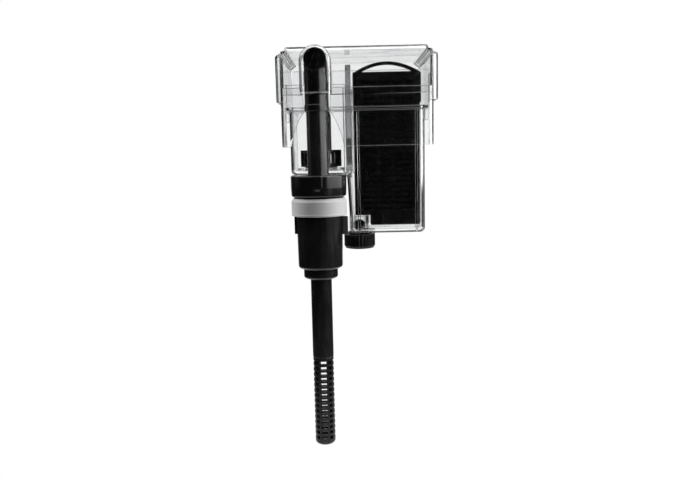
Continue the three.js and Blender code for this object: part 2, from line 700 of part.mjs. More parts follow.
function drainKnob() {
  const { radius, top, bottom, ribs } = KNOB;
  const body = turned([
    [0, bottom], [radius - 1.6, bottom], [radius - 0.5, bottom + 0.6], [radius, bottom + 1.7], [radius, top],
    [STEM.radius, top], [STEM.radius, STEM.top], [STEM.tip, STEM.tipTop], [0, STEM.tipTop],
  ], DRAIN.x, DRAIN.y);
  const grooves = Array.from({ length: ribs }, (_, i) => {
    const groove = new THREE.BoxGeometry(1.4, 2.2, 20).translate(radius + 0.1, 0, (top + bottom) / 2);
    groove.rotateZ((2 * Math.PI * i) / ribs);
    groove.translate(DRAIN.x, DRAIN.y, 0);
    return solid(groove);
  });
  return cut(body, ...grooves);
}

// ---- assembly ----

function group(...meshes) {
  const holder = new THREE.Group();
  holder.add(...meshes);
  return holder;
}

const filter = group(
  group(
    named("filter_container", filterContainer(), CLEAR),
    named("chamber_divider", chamberDivider(), SMOKE),
    named("elbow_pipe", elbowPipe(), BLACK),
    named("inner_downpipe", innerDownpipe(), BLACK),
    named("inlet_diffuser", inletDiffuser(), SATIN_BLACK),
  ),
  named("lid", lid(), CLEAR),
  group(
    named("cartridge_frame", cartridgeFrame(), BLACK),
    named("cartridge_back", cartridgeBack(), BLACK),
    named("filter_foam", mediaPad(PADS.foamFront, PADS.foamBack), FOAM),
    named("carbon_pad", mediaPad(PADS.carbonFront, PADS.carbonBack), CARBON),
  ),
  group(
    named("drain_seal", drainSeal(), RUBBER),
    named("drain_knob", drainKnob(), BLACK),
  ),
  group(
    named("riser_tube", riserTube(), BLACK),
    named("riser_seal", riserSeal(), RUBBER),
  ),
  group(
    named("pump_head", pumpHead(), BLACK),
    named("head_seal", headSeal(), RUBBER),
    named("impeller_cover", impellerCover(), SATIN_BLACK),
    named("upper_bush", upperBush(), RUBBER),
    named("motor_housing", motorHousing(), SATIN_BLACK),
    named("motor_can", motorCan(), SATIN_BLACK),
    named("rotor_well", rotorWell(), SATIN_BLACK),
    named("stator_core", statorCore(), STEEL),
    named("stator_coil", statorCoil(), COPPER),
    named("rotor_shaft", rotorShaft(), CERAMIC),
    named("lower_bush", lowerBush(), RUBBER),
    named("cable_gland", cableGland(), RUBBER),
    named("intake_collar", intakeCollar(), SATIN_BLACK),
    named("collar_seal", collarSeal(), RUBBER),
  ),
  named("flow_ring", flowRing(), WHITE),
  group(
    named("rotor_magnet", rotorMagnet(), FERRITE),
    named("impeller", impeller(), SATIN_BLACK),
  ),
  named("intake_tube", intakeTube(), SATIN_BLACK),
  named("strainer", strainer(), SATIN_BLACK),
);

export default filter;
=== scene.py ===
import math

import bmesh
import bpy
from mathutils import Matrix, Vector, noise


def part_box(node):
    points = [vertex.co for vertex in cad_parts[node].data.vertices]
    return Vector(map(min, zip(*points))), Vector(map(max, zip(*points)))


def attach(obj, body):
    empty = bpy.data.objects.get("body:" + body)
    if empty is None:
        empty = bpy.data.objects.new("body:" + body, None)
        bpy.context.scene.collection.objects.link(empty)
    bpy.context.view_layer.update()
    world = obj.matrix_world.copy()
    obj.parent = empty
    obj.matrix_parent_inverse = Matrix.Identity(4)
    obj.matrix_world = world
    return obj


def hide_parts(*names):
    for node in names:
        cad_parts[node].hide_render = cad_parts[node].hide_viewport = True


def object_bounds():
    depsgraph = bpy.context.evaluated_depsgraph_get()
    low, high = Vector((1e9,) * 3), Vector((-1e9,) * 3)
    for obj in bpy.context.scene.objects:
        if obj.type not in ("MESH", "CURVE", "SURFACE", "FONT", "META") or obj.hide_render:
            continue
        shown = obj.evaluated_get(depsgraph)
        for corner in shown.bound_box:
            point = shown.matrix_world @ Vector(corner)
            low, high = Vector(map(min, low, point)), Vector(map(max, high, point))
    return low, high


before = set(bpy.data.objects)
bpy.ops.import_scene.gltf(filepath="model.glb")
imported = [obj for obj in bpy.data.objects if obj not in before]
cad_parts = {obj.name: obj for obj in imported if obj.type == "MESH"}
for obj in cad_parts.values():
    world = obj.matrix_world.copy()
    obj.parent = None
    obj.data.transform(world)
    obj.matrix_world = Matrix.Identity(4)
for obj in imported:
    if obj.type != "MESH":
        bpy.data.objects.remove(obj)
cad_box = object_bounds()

MM = 0.001
SIDES = 96  # sides of a round piece


# ---- places that come from the frame ----
class Place:
    """A CAD node's box at rest, in millimetres."""

    def __init__(self, node):
        low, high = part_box(node)
        self.x0, self.y0, self.z0 = (value / MM for value in low)
        self.x1, self.y1, self.z1 = (value / MM for value in high)
        self.x, self.y, self.z = ((a + b) / 2 for a, b in
                                  ((self.x0, self.x1), (self.y0, self.y1), (self.z0, self.z1)))
        self.radius = (self.x1 - self.x0) / 2


BOX = Place("filter_container")
LID = Place("lid")
DIVIDER = Place("chamber_divider")
ELBOW = Place("elbow_pipe")
DOWNPIPE = Place("inner_downpipe")
DIFFUSER = Place("inlet_diffuser")
CASE = Place("cartridge_frame")
CASE_BACK = Place("cartridge_back")
FOAM = Place("filter_foam")
CARBON = Place("carbon_pad")
SEAL = Place("drain_seal")
KNOB = Place("drain_knob")
RISER = Place("riser_tube")
HEAD = Place("pump_head")
HOUSING = Place("motor_housing")
GLAND = Place("cable_gland")
COLLAR = Place("intake_collar")
RING = Place("flow_ring")
INTAKE = Place("intake_tube")
STRAINER = Place("strainer")

# Walls and corners of the clear box
WALL = 2.2
TANK = {"left": -57, "right": 57.6, "front": 6, "back": 60, "step": -53.6, "floor": -104.9,
        "split_top": -9.3, "split_low": -6.9, "corner": 4}
TRAY = {"half": 60.7, "half_low": 60.4, "wall": 1.9, "top": 39.4, "corner": 5, "low": -30}
BRIDGE = {"front": -8, "top": 2.4}
BELL = {"slot": 10.6, "slot_end": -3.5, "foot": 21.2, "waist": 17.5, "waist_z": -12}
# Lid: each step has a half width, a top and a corner radius; the skirt's front ends higher than its ends
LID_WALL = 1.8
LID_FRONT = -30.5
LID_SKIRT = 10.2
LID_CORNER = 6
LID_STEPS = ((53.2, 47.1, 3), (57.6, 44, 1.8), (60.6, 41.6, 3.4))
HOOD = {"half": 12.1, "top": 46, "edge": 1.6, "wall": 1.2, "inner_edge": 0.8}
FROST = {"angle": 60, "box": 0.4, "lid": 0.45}

# Pipes, drain and pump
PIPE = {"x": -32, "front": -32, "rear": 33, "z": 35.8, "radius": 8.8, "bore": 7.1, "edge": 0.7}
SLEEVE = {"radius": 9.1, "collar": 9.6, "bore": 8.6, "top": 28.4, "low": -2.9}
SPIGOT = {"radius": 8, "bore": 6.6, "low": -14}
DRUM = {"wall": 1.6, "low": -47, "foot": 14.5, "foot_bore": 11.5, "slots": 24, "slot_half": 1.1,
        "margin": 2.6}
DRAIN = {"boss": 8.9, "bore": 6.7, "boss_top": -90.6}
STEM = {"radius": 5.2, "top": -96.4, "tip": 2}
GRIP = {"ribs": 26, "depth": 0.55, "steps": 14, "sides_per_rib": 12}
VOLUTE = {"radius": 22.1, "neck": 19.6, "neck_top": -69.8, "low": -82.5, "waist": -62}
BULGE = {"radius": 9.7, "low": -69.6, "edge": 8.5, "y": -44.9}
IMPELLER_ROOM = {"radius": 15, "low": -84, "top": -68.5}
RING_BORE = 19.9
MOTOR = {"top": -84.3, "radius": 18.35, "foot": 17.9, "bore": 16.4, "eye": 10.2, "neck": 14.6,
         "neck_bore": 12.6, "neck_top": -79.2, "wall": 2}
CASING_RIB = {"rise": 1.8, "half": 1.5, "low": -99, "top": -84.9}
LUG = {"seat": 18.4, "inlet": 1.3, "inlet_z": -92, "grooves": (-97.4, -95, -89.4, -87.6), "groove": 0.8}
TUBE_BORE = 7.2
COLLAR_BORE = 8.85
FUNNEL = {"radius": 8.4, "bore": 7.0, "edge": 2.2}
# Strainer slots: turn about the tube, half width and how far back each column reaches
SLOT_ROWS = {"count": 15, "pitch": 4.61, "first": -204.9, "half_height": 1.4, "reach": 15}
SLOT_COLUMNS = ((0, 2.5, 15), (90, 3.4, 15), (42, 1.7, 0), (-42, 1.7, 0))

# Cartridge
CASE_WALL = 1.8
NOTCH = {"x": 10.6, "z": -89.4}
HANDLE = {"rise": 17.6, "inner_rise": 11.2, "right": 6.4, "left": 7.2, "depth": 4}
SLITS = {"columns": ((4.4, 16.2), (18.8, 29.8), (31.4, 39.9), (40.9, 47.5)), "rows": 24,
         "pitch": 4.65, "height": 2.1, "top": 24.6}
PAD = {"columns": 44, "rows": 88, "swell": 0.45, "rim": 0.75, "tuck": 0.012, "edge": 0.6}

# Stage, in metres: azimuth, elevation, distance, width, height and power of each soft light
FLOOR = {"half": 0.7, "gap": 0.02}
SOFTBOXES = {"right_softbox": (92, 12, 1.2, 1.3, 0.9, 14), "left_strip": (-104, 12, 1.2, 0.6, 0.9, 11)}
# Brightness of what reflections find in each direction
STUDIO = {"back": 0.85, "above": 0.3, "right": 4.0, "left": 0.35, "steep": 1.3, "everywhere": 0.012}


# ---- camera ----
VIEW = {"place": (-9.53, -526.5, -34.6), "pitch": 8.08, "roll": 1.25, "yaw": 0.15, "lens": 32.21}


def make_camera():
    data = bpy.data.cameras.new("camera")
    data.lens = VIEW["lens"]
    data.clip_start, data.clip_end = 0.01, 50
    camera = bpy.data.objects.new("camera", data)
    bpy.context.scene.collection.objects.link(camera)
    turn = Matrix.Rotation(math.radians(VIEW["yaw"]), 4, "Z")
    tilt = Matrix.Rotation(math.radians(90 - VIEW["pitch"]), 4, "X")
    roll = Matrix.Rotation(math.radians(-VIEW["roll"]), 4, "Z")
    camera.matrix_world = Matrix.Translation(Vector(VIEW["place"]) * MM) @ turn @ tilt @ roll
    bpy.context.scene.camera = camera


# ---- node graphs ----
class Graph:
    """Short calls for a node tree: each returns the socket that the next one takes."""

    def __init__(self, tree):
        self.tree = tree
        tree.nodes.clear()

    def node(self, kind, settings=None, **inputs):
        made = self.tree.nodes.new(kind)
        for key, value in (settings or {}).items():
            setattr(made, key, value)
        for key, value in inputs.items():
            socket = made.inputs[key.replace("_", " ")]
            self.feed(socket, value)
        return made

    def feed(self, socket, value):
        if isinstance(value, bpy.types.NodeSocket):
            self.tree.links.new(value, socket)
        else:
            socket.default_value = value

    def math(self, operation, a, b=0.0):
        made = self.node("ShaderNodeMath", {"operation": operation})
        self.feed(made.inputs[0], a)
        self.feed(made.inputs[1], b)
        return made.outputs[0]

    def ramp(self, value, low, high, out_low=0.0, out_high=1.0):
        made = self.node("ShaderNodeMapRange", {"interpolation_type": "SMOOTHSTEP"}, Value=value)
        limits = {"From Min": low, "From Max": high, "To Min": out_low, "To Max": out_high}
        for name, number in limits.items():
            made.inputs[name].default_value = number
        return made.outputs[0]

    def blend(self, factor, a, b):
        made = self.node("ShaderNodeMix", {"data_type": "RGBA"})
        self.feed(made.inputs[0], factor)
        self.feed(made.inputs[6], a)
        self.feed(made.inputs[7], b)
        return made.outputs[2]

    def noise(self, scale, detail=3.0, roughness=0.55, stretch=(1, 1, 1)):
        place = self.node("ShaderNodeTexCoord").outputs["Object"]
        mapped = self.node("ShaderNodeMapping", Vector=place, Scale=stretch).outputs[0]
        return self.node("ShaderNodeTexNoise", Vector=mapped, Scale=scale, Detail=detail,
                         Roughness=roughness).outputs["Fac"]

    def bump(self, height, strength, distance, normal=None):
        made = self.node("ShaderNodeBump", Height=height, Strength=strength, Distance=distance)
        if normal is not None:
            self.feed(made.inputs["Normal"], normal)
        return made.outputs[0]


# ---- stage ----
def make_world():
    """White to the camera, a bright field behind clear plastic, and a dim studio for reflections."""
    world = bpy.data.worlds.new("studio")
    bpy.context.scene.world = world
    world.use_nodes = True
    g = Graph(world.node_tree)
    direction = g.node("ShaderNodeSeparateXYZ", Vector=g.node("ShaderNodeTexCoord").outputs["Generated"])
    x, y, z = direction.outputs
    height = g.math("ABSOLUTE", z)
    # bright field: white round the horizon, dark well above and below, with dark uprights between
    level = g.ramp(height, 0.55, 0.85, 1.0, 0.12)
    turn = g.math("ARCTAN2", x, g.math("MULTIPLY", y, -1.0))
    comb = g.math("COSINE", g.math("MULTIPLY", turn, 8.0))
    uprights = g.ramp(comb, -0.98, -0.7, 0.2, 1.0)
    field = g.math("MULTIPLY", level, uprights)
    # studio: dark, a pale wall far behind the object, a soft light above and a long softbox at the right
    back = g.ramp(y, 0.8, 0.97, 0.0, STUDIO["back"])
    above = g.ramp(z, 0.35, 0.9, 0.0, STUDIO["above"])
    right = g.math("MULTIPLY", g.ramp(turn, 0.60, 0.74), g.ramp(turn, 1.9, 2.05, 1.0, 0.0))
    right = g.math("MULTIPLY", right, g.ramp(z, -0.072, -0.03, 0.0, STUDIO["right"]))
    left = g.ramp(turn, -2.05, -1.95, 0.0, STUDIO["left"])
    left = g.math("MULTIPLY", left, g.ramp(turn, -1.55, -1.4, 1.0, 0.0))
    sides = g.math("ADD", right, g.math("MULTIPLY", left, g.ramp(z, -0.05, 0.02)))
    # light that has left a matt surface doesn't find the softboxes here, since the lamps already light it
    path = g.node("ShaderNodeLightPath").outputs
    mirrored = g.math("LESS_THAN", path["Diffuse Depth"], 0.5)
    sides = g.math("MULTIPLY", mirrored, sides)
    studio = g.math("MAXIMUM", g.math("MAXIMUM", back, above), sides)
    studio = g.math("ADD", studio, STUDIO["everywhere"])
    # edges that send light steeply up or down find it bright there
    steep = g.math("MULTIPLY", mirrored, g.ramp(height, 0.3, 0.55, 0.0, STUDIO["steep"]))
    studio = g.math("MAXIMUM", studio, steep)
    # only light that has not bounced off anything yet sees the bright field
    bounces = g.math("ADD", path["Glossy Depth"], path["Diffuse Depth"])
    straight = g.math("LESS_THAN", bounces, 0.5)
    through = g.math("MULTIPLY", straight, g.math("GREATER_THAN", path["Transmission Depth"], 0.5))
    mixed = g.math("ADD", g.math("MULTIPLY", through, field),
                   g.math("MULTIPLY", g.math("SUBTRACT", 1.0, through), studio))
    strength = g.math("MAXIMUM", path["Is Camera Ray"], mixed)
    background = g.node("ShaderNodeBackground", Color=(1, 1, 1, 1), Strength=strength)
    output = g.node("ShaderNodeOutputWorld")
    g.feed(output.inputs["Surface"], background.outputs[0])


def make_floor():
    """A plain pale floor under the strainer."""
    size = FLOOR["half"]
    depth = cad_box[0].z - FLOOR["gap"]
    mesh = bpy.data.meshes.new("floor")
    corners = [(-size, -size, depth), (size, -size, depth), (size, size, depth), (-size, size, depth)]
    mesh.from_pydata(corners, [], [(0, 1, 2, 3)])
    floor = bpy.data.objects.new("floor", mesh)
    bpy.context.scene.collection.objects.link(floor)
    material = bpy.data.materials.new("pale_floor")
    material.use_nodes = True
    g = Graph(material.node_tree)
    paint = g.node("ShaderNodeEmission", Color=(1, 1, 1, 1), Strength=1.0)
    output = g.node("ShaderNodeOutputMaterial")
    g.feed(output.inputs["Surface"], paint.outputs[0])
    mesh.materials.append(material)
    floor.visible_glossy = False
    floor.visible_diffuse = False


def softbox(name, azimuth, elevation, distance, width, height, power):
    """A soft light aimed at the box; azimuth 0 is in front, and 90 on the right."""
    data = bpy.data.lights.new(name, "AREA")
    data.shape = "RECTANGLE"
    data.size, data.size_y = width, height
    data.energy = power
    lamp = bpy.data.objects.new(name, data)
    bpy.context.scene.collection.objects.link(lamp)
    a, e = math.radians(azimuth), math.radians(elevation)
    away = Vector((math.sin(a) * math.cos(e), -math.cos(a) * math.cos(e), math.sin(e)))
    lamp.location = away * distance
    lamp.rotation_mode = "QUATERNION"
    lamp.rotation_quaternion = away.to_track_quat("Z", "Y")
    lamp.visible_camera = False
    lamp.visible_transmission = False
    lamp.visible_glossy = False


def make_stage():
    make_world()
    make_floor()
    for name, numbers in SOFTBOXES.items():
        softbox(name, *numbers)
    bpy.context.scene.view_settings.view_transform = "Standard"


# ---- materials ----
def shader(name, **inputs):
    """A material with one Principled shader; returns the material, its graph and the shader node."""
    material = bpy.data.materials.new(name)
    material.use_nodes = True
    g = Graph(material.node_tree)
    principled = g.node("ShaderNodeBsdfPrincipled")
    for key, value in inputs.items():
        g.feed(principled.inputs[key.replace("_", " ")], value)
    output = g.node("ShaderNodeOutputMaterial")
    g.feed(output.inputs["Surface"], principled.outputs[0])
    return material, g, principled


def clear_plastic(name, tint, roughness, ripple):
    material, g, principled = shader(name, IOR=1.49, Transmission_Weight=1.0)
    cloud = g.noise(35, 2.0)
    g.feed(principled.inputs["Base Color"], g.blend(g.ramp(cloud, 0.3, 0.7), tint[0], tint[1]))
    haze = g.noise(120, 4.0)
    g.feed(principled.inputs["Roughness"], g.ramp(haze, 0.35, 0.75, roughness[0], roughness[1]))
    # moulded edges are a little frosted, where the mesh marks them
    edge = g.node("ShaderNodeAttribute", {"attribute_name": "edge"}).outputs["Fac"]
    clearness = g.math("SUBTRACT", 1.0, g.math("MULTIPLY", edge, 0.55))
    g.feed(principled.inputs["Transmission Weight"], clearness)
    waves = g.bump(g.noise(28, 1.0, stretch=(1, 1, 0.4)), ripple, 0.002)
    g.feed(principled.inputs["Normal"], waves)
    return material


def black_plastic(name, tones, roughness, grain, scale=900):
    material, g, principled = shader(name, IOR=1.48)
    cloud = g.noise(60, 3.0)
    worn = g.ramp(g.node("ShaderNodeNewGeometry").outputs["Pointiness"], 0.51, 0.56)
    tone = g.blend(g.ramp(cloud, 0.35, 0.7), tones[0], tones[1])
    g.feed(principled.inputs["Base Color"], g.blend(g.math("MULTIPLY", worn, 0.5), tone, tones[2]))
    marks = g.noise(220, 5.0, 0.65, (1, 1, 0.25))
    g.feed(principled.inputs["Roughness"], g.ramp(marks, 0.35, 0.75, roughness[0], roughness[1]))
    g.feed(principled.inputs["Normal"], g.bump(g.noise(scale, 2.0), grain, 0.0002))
    return material


def white_plastic():
    material, g, principled = shader("white_plastic", IOR=1.48)
    cloud = g.noise(45, 3.0)
    g.feed(principled.inputs["Base Color"],
           g.blend(g.ramp(cloud, 0.35, 0.7), (0.80, 0.80, 0.80, 1), (0.86, 0.86, 0.855, 1)))
    g.feed(principled.inputs["Roughness"], g.ramp(g.noise(260, 4.0), 0.3, 0.8, 0.28, 0.42))
    g.feed(principled.inputs["Normal"], g.bump(g.noise(800, 2.0), 0.12, 0.0002))
    return material


def rubber():
    material, g, principled = shader("black_rubber", IOR=1.5)
    g.feed(principled.inputs["Base Color"],
           g.blend(g.noise(150, 4.0), (0.008, 0.008, 0.008, 1), (0.02, 0.02, 0.02, 1)))
    g.feed(principled.inputs["Roughness"], g.ramp(g.noise(300, 4.0), 0.3, 0.7, 0.6, 0.85))
    g.feed(principled.inputs["Normal"], g.bump(g.noise(1600, 3.0), 0.3, 0.0002))
    return material


def foam_material():
    material, g, principled = shader("black_foam", IOR=1.4)
    place = g.node("ShaderNodeTexCoord").outputs["Object"]
    pores = g.node("ShaderNodeTexVoronoi", Vector=place, Scale=900.0).outputs["Distance"]
    # painted shade: the pits of the pores, which the bump below sinks, are also painted darker in the base
    # colour
    g.feed(principled.inputs["Base Color"],
           g.blend(g.ramp(pores, 0.1, 0.7), (0.004, 0.004, 0.004, 1), (0.03, 0.03, 0.031, 1)))
    g.feed(principled.inputs["Roughness"], g.ramp(g.noise(300, 3.0), 0.3, 0.7, 0.85, 1.0))
    g.feed(principled.inputs["Normal"], g.bump(pores, 0.9, 0.0008))
    return material


def carbon_material():
    material, g, principled = shader("carbon_felt", IOR=1.4)
    fibre = g.noise(1500, 6.0, 0.7, (1, 1, 0.3))
    g.feed(principled.inputs["Base Color"],
           g.blend(g.ramp(fibre, 0.3, 0.7), (0.006, 0.006, 0.006, 1), (0.035, 0.035, 0.037, 1)))
    g.feed(principled.inputs["Roughness"], g.ramp(g.noise(200, 3.0), 0.3, 0.7, 0.8, 0.98))
    g.feed(principled.inputs["Normal"], g.bump(fibre, 0.8, 0.0006))
    return material


def metal(name, tones, roughness, band_scale, band_strength):
    """Metal with fine bands across Z, as laminations or windings have."""
    material, g, principled = shader(name, Metallic=1.0)
    place = g.node("ShaderNodeTexCoord").outputs["Object"]
    bands = g.node("ShaderNodeTexWave", {"bands_direction": "Z"}, Vector=place, Scale=band_scale,
                   Distortion=0.6).outputs["Fac"]
    g.feed(principled.inputs["Base Color"], g.blend(bands, tones[0], tones[1]))
    g.feed(principled.inputs["Roughness"], g.ramp(g.noise(300, 3.0), 0.3, 0.7, *roughness))
    g.feed(principled.inputs["Normal"], g.bump(bands, band_strength, 0.0003))
    return material


def ceramic():
    material, g, principled = shader("white_ceramic", IOR=1.6)
    g.feed(principled.inputs["Base Color"],
           g.blend(g.noise(200, 3.0), (0.82, 0.8, 0.75, 1), (0.9, 0.89, 0.85, 1)))
    g.feed(principled.inputs["Roughness"], g.ramp(g.noise(400, 3.0), 0.3, 0.7, 0.15, 0.3))
    return material


def make_materials():
    black = ((0.0035, 0.0035, 0.0037, 1), (0.006, 0.006, 0.0063, 1), (0.016, 0.016, 0.017, 1))
    satin = ((0.004, 0.004, 0.0043, 1), (0.0075, 0.0075, 0.008, 1), (0.02, 0.02, 0.021, 1))
    return {
        "clear_plastic": clear_plastic("clear_plastic", ((0.97, 0.975, 0.98, 1), (0.985, 0.99, 0.99, 1)),
                                       (0.0, 0.04), 0.12),
        "smoke_plastic": clear_plastic("smoke_plastic", ((0.26, 0.265, 0.27, 1), (0.34, 0.345, 0.35, 1)),
                                       (0.12, 0.3), 0.2),
        "black_gloss": black_plastic("black_gloss", black, (0.16, 0.3), 0.06),
        "black_satin": black_plastic("black_satin", satin, (0.15, 0.26), 0.1, 1300),
        "white_plastic": white_plastic(),
        "rubber": rubber(),
        "foam": foam_material(),
        "carbon": carbon_material(),
        "ceramic": ceramic(),
        "ferrite": metal("ferrite", ((0.03, 0.03, 0.032, 1), (0.045, 0.045, 0.048, 1)),
                         (0.4, 0.6), 60, 0.1),
        "core_steel": metal("core_steel", ((0.3, 0.3, 0.31, 1), (0.5, 0.5, 0.51, 1)),
                            (0.3, 0.5), 320, 0.5),
        "copper": metal("copper", ((0.45, 0.16, 0.07, 1), (0.75, 0.33, 0.17, 1)),
                        (0.25, 0.45), 420, 0.8),
    }


# ---- outlines ----
def rounded(points, steps=6):
    """A closed outline whose corners become arcs; a point is (a, b) or (a, b, radius)."""
    outline = []
    for i, point in enumerate(points):
        corner = Vector(point[:2])
        if len(point) < 3:
            outline.append(tuple(corner))
            continue
        before = (Vector(points[i - 1][:2]) - corner).normalized()
        after = (Vector(points[(i + 1) % len(points)][:2]) - corner).normalized()
        half = before.angle(after) / 2
        centre = corner + (before + after).normalized() * point[2] / math.sin(half)
        reach = point[2] / math.tan(half)
        start = corner + before * reach - centre
        end = corner + after * reach - centre
        begin = math.atan2(start.y, start.x)
        sweep = (math.atan2(end.y, end.x) - begin + math.pi) % (2 * math.pi) - math.pi
        for k in range(steps + 1):
            angle = begin + sweep * k / steps
            outline.append((centre.x + point[2] * math.cos(angle), centre.y + point[2] * math.sin(angle)))
    return outline


def rectangle(a0, a1, b0, b1, radius, steps=6):
    return rounded([(a0, b0, radius), (a1, b0, radius), (a1, b1, radius), (a0, b1, radius)], steps)


def curve(start, middle, end, steps=12):
    """Points of a quadratic curve, both ends included."""
    points = []
    for k in range(steps + 1):
        t = k / steps
        points.append(tuple((1 - t) ** 2 * s + 2 * t * (1 - t) * m + t * t * e
                            for s, m, e in zip(start, middle, end)))
    return points


# ---- solids ----
def piece_from(name, vertices, faces):
    mesh = bpy.data.meshes.new(name)
    mesh.from_pydata(vertices, [], faces)
    piece = bpy.data.objects.new(name, mesh)
    bpy.context.scene.collection.objects.link(piece)
    return piece


def turned(name, outline, x, y, sides=SIDES, ripple=None):
    """A closed outline of (radius, z) turned about the upright axis at x, y."""
    vertices, rings = [], []
    for radius, z in outline:
        if radius < 1e-6:
            rings.append([len(vertices)] * sides)
            vertices.append((x, y, z))
            continue
        rings.append(list(range(len(vertices), len(vertices) + sides)))
        for k in range(sides):
            angle = 2 * math.pi * k / sides
            r = radius + (ripple(angle, radius, z) if ripple else 0)
            vertices.append((x + r * math.cos(angle), y + r * math.sin(angle), z))
    faces = []
    for one, two in zip(rings, rings[1:] + rings[:1]):
        for k in range(sides):
            face = [one[k], one[(k + 1) % sides], two[(k + 1) % sides], two[k]]
            face = [v for i, v in enumerate(face) if v not in face[:i]]
            if len(face) > 2:
                faces.append(face)
    return piece_from(name, vertices, faces)


def prism(name, outline, axis, low, high):
    """A closed outline pushed along an axis: (x, z) along Y, (x, y) along Z, or (y, z) along X."""
    place = {"Y": lambda p, t: (p[0], t, p[1]), "Z": lambda p, t: (p[0], p[1], t),
             "X": lambda p, t: (t, p[0], p[1])}[axis]
    count = len(outline)
    vertices = [place(p, low) for p in outline] + [place(p, high) for p in outline]
    faces = [list(range(count)), list(range(2 * count - 1, count - 1, -1))]
    faces += [[i, i + count, (i + 1) % count + count, (i + 1) % count] for i in range(count)]
    return facing_out(piece_from(name, vertices, faces))


def block(name, x0, x1, y0, y1, z0, z1):
    return prism(name, [(x0, y0), (x1, y0), (x1, y1), (x0, y1)], "Z", z0, z1)


def rod_along_y(name, radius, y0, y1, x, z, edge=0, sides=SIDES):
    """A round bar along Y, with rounded ends where edge is given."""
    outline = [(0, y0), (radius, y0, edge), (radius, y1, edge), (0, y1)] if edge else \
        [(0, y0), (radius, y0), (radius, y1), (0, y1)]
    bar = turned(name, rounded(outline, 4), 0, 0, sides)
    bar.data.transform(Matrix.Translation((x, 0, z)) @ Matrix.Rotation(math.radians(-90), 4, "X"))
    return bar


def facing_out(piece):
    """Turns every face outwards."""
    shape = bmesh.new()
    shape.from_mesh(piece.data)
    bmesh.ops.recalc_face_normals(shape, faces=shape.faces)
    shape.to_mesh(piece.data)
    shape.free()
    return piece


def apply_modifiers(piece):
    graph = bpy.context.evaluated_depsgraph_get()
    mesh = bpy.data.meshes.new_from_object(piece.evaluated_get(graph))
    piece.modifiers.clear()
    old, piece.data = piece.data, mesh
    bpy.data.meshes.remove(old)
    return piece


def combine(piece, operation, tools):
    for tool in [piece, *tools]:
        facing_out(tool)
    for tool in tools:
        modifier = piece.modifiers.new(operation, "BOOLEAN")
        modifier.operation = operation
        modifier.solver = "MANIFOLD"
        modifier.object = tool
    apply_modifiers(piece)
    for tool in tools:
        bpy.data.objects.remove(tool)
    if not piece.data.polygons:
        raise ValueError(f"{piece.name}: nothing is left after {operation}")
    return piece


def join(piece, *tools):
    return combine(piece, "UNION", tools)


def cut(piece, *tools):
    return combine(piece, "DIFFERENCE", tools)


def common(piece, *tools):
    return combine(piece, "INTERSECT", tools)


def soften(piece, width, segments=3, angle=40):
    """Rounds the edges sharper than angle."""
    modifier = piece.modifiers.new("edges", "BEVEL")
    modifier.width = width
    modifier.segments = segments
    modifier.limit_method = "ANGLE"
    modifier.angle_limit = math.radians(angle)
    return apply_modifiers(piece)


def frost_edges(piece, width):
    """Rounds the sharp edges and marks them for the frosted look of moulded edges."""
    places = [bpy.data.materials.new(name) for name in ("face_place", "edge_place")]
    for place in places:
        piece.data.materials.append(place)
    # wide faces are split first, or the rounding could close the openings they go round
    split = piece.modifiers.new("split", "TRIANGULATE")
    split.min_vertices = 5
    modifier = piece.modifiers.new("edges", "BEVEL")
    modifier.width = width
    modifier.segments = 2
    modifier.limit_method = "ANGLE"
    modifier.angle_limit = math.radians(FROST["angle"])
    modifier.use_clamp_overlap = False
    modifier.material = 1
    apply_modifiers(piece)
    marks = piece.data.attributes.new("edge", "FLOAT", "FACE")
    for polygon, mark in zip(piece.data.polygons, marks.data):
        mark.value = polygon.material_index
        polygon.material_index = 0
    piece.data.materials.clear()
    for place in places:
        bpy.data.materials.remove(place)
    return piece


def finish_piece(piece, material, body, nodes, sharp=35):
    """Scales the piece to metres, smooths it, gives it its material and body, and hides the CAD nodes it
    stands in for.
    """
    piece.data.transform(Matrix.Scale(MM, 4))
    piece.data.update()
    for polygon in piece.data.polygons:
        polygon.use_smooth = True
    piece.data.set_sharp_from_angle(angle=math.radians(sharp))
    piece.data.materials.clear()
    piece.data.materials.append(material)
    normals = piece.modifiers.new("flat_faces", "WEIGHTED_NORMAL")
    normals.keep_sharp = True
    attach(piece, body)
    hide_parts(*nodes)
    return piece


# ---- clear box ----
def tank_volume(name, inset, top, edge):
    """The L-shaped box, deep under the cartridge and shallow under the inlet, with round edges."""
    t = TANK
    left, right = t["left"] + inset, t["right"] - inset
    step, floor = t["step"] + inset, t["floor"] + inset
    outline = [(left, top), (left, step), (t["split_top"] + inset, step), (t["split_low"] + inset, floor),
               (right, floor), (right, top)]
    body = prism(name, outline, "Y", t["front"] + inset, t["back"] - inset)
    return soften(body, edge, 6, 30)


def tray_volume(name, inset, bottom, top):
    t = TRAY
    plan = rectangle(-t["half"] + inset, t["half"] - inset, BOX.y0 + inset, BOX.y1 - inset,
                     t["corner"] - inset, 8)
    body = prism(name, plan, "Z", bottom, top)
    lean = [(-t["half"] + inset, top + 2), (-t["half"] + inset, 0), (-t["half_low"] + inset, t["low"] - 2),
            (t["half_low"] - inset, t["low"] - 2), (t["half"] - inset, 0), (t["half"] - inset, top + 2)]
    return common(body, prism("lean", lean, "Y", BOX.y0 - 1, BOX.y1 + 1))


def bell_volume():
    """The slot for the pipe, which opens downwards into a bell."""
    b, x = BELL, PIPE["x"]
    low = TRAY["low"] - 1
    left = curve((x - b["foot"], low), (x - b["waist"], b["waist_z"]), (x - b["slot"], b["slot_end"]))
    right = [(2 * x - a, z) for a, z in reversed(left)]
    outline = left + [(x - b["slot"], 17), (x + b["slot"], 17)] + right
    return prism("bell", outline, "Y", BOX.y0 - 1, BOX.y0 + 4)


